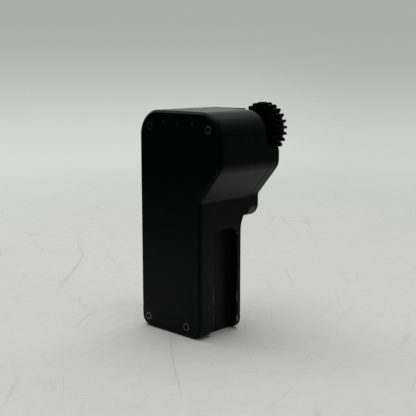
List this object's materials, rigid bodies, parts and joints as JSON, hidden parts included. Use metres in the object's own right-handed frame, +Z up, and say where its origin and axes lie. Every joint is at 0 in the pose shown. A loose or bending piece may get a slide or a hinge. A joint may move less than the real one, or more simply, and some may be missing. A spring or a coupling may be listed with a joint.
{
  "type": "servo follow focus",
  "caption": "Upright motor unit with a wide head over a narrow grip, a mounting slot in the grip's side and a spur drive gear at the rear that turns a lens's focus ring.",
  "frame": {"origin": "on the surface that the grip's foot stands on, under the middle of the whole, drive gear included", "axes": "+X to the right as the front cover is seen, +Y from the front cover to the drive gear and along its axis, +Z up"},
  "size_m": [0.0445, 0.0382, 0.0907],
  "materials": {
    "black_anodised": "satin black anodised, very lightly bead-blasted",
    "cover_anodised": "smooth satin black anodised",
    "black_steel": "black oxide",
    "bare_steel": "ground",
    "gear_plastic": "black moulded acetal, slightly shiny",
    "gear_brass": "cut brass",
    "light_pipe": "smoked clear",
    "gearbox_plate": "plain",
    "copper_winding": "enamelled copper",
    "magnet": "nickel plated",
    "board": "solder mask",
    "chip": "moulded",
    "led": "moulded",
    "socket_steel": "pressed",
    "lead_insulation": "silicone"
  },
  "bodies": {
    "housing": {"main_housing": "black_anodised", "front_cover": "cover_anodised", "rear_cover": "black_anodised", "front_cover_screws": "black_steel", "rear_cover_screws": "black_steel", "indicator_light_pipes": "light_pipe", "output_front_bearing": "bare_steel", "output_rear_bearing": "bare_steel", "second_gear_axle": "bare_steel", "first_gear_axle": "bare_steel", "gearbox_front_plate": "gearbox_plate", "gearbox_rear_plate": "gearbox_plate", "gearbox_spacers": "bare_steel", "gearbox_screws": "black_steel", "motor_can": "bare_steel", "motor_end_cap": "chip", "motor_screws": "black_steel", "motor_stator": "copper_winding", "control_board": "board", "control_board_screws": "black_steel", "indicator_leds": "led", "encoder_chip": "chip", "processor_chip": "chip", "motor_driver_chips": "chip", "motor_connector": "led", "motor_leads": "lead_insulation", "control_socket_shell": "socket_steel", "control_socket_tongue": "chip"},
    "drive": {"drive_gear": "gear_plastic", "drive_gear_washer": "bare_steel", "drive_gear_screw": "black_steel", "output_shaft": "bare_steel", "output_gear": "gear_brass"},
    "second_gear": {"second_reduction_gear": "gear_brass"},
    "first_gear": {"first_reduction_gear": "gear_brass"},
    "motor_rotor": {"motor_shaft": "bare_steel", "motor_pinion": "gear_brass", "motor_rotor": "magnet", "encoder_magnet": "magnet"}
  },
  "joints": [
    {"name": "drive_gear_spin", "type": "hinge", "parent": "housing", "child": "drive", "pos_m": [0.01185, 0, 0.0803], "axis": [0, 1, 0], "continuous": true},
    {"name": "second_gear_spin", "type": "hinge", "parent": "housing", "child": "second_gear", "pos_m": [0.00785, 0, 0.07337], "axis": [0, 1, 0], "continuous": true},
    {"name": "first_gear_spin", "type": "hinge", "parent": "housing", "child": "first_gear", "pos_m": [-0.00192, 0, 0.06981], "axis": [0, 1, 0], "continuous": true},
    {"name": "motor_spin", "type": "hinge", "parent": "housing", "child": "motor_rotor", "pos_m": [-0.0098, 0, 0.06366], "axis": [0, 1, 0], "continuous": true}
  ],
  "couplings": [
    {"joint": "second_gear_spin", "follows": "drive_gear_spin", "ratio": -1.6667},
    {"joint": "first_gear_spin", "follows": "drive_gear_spin", "ratio": 5.5556},
    {"joint": "motor_spin", "follows": "drive_gear_spin", "ratio": -22.222}
  ]
}
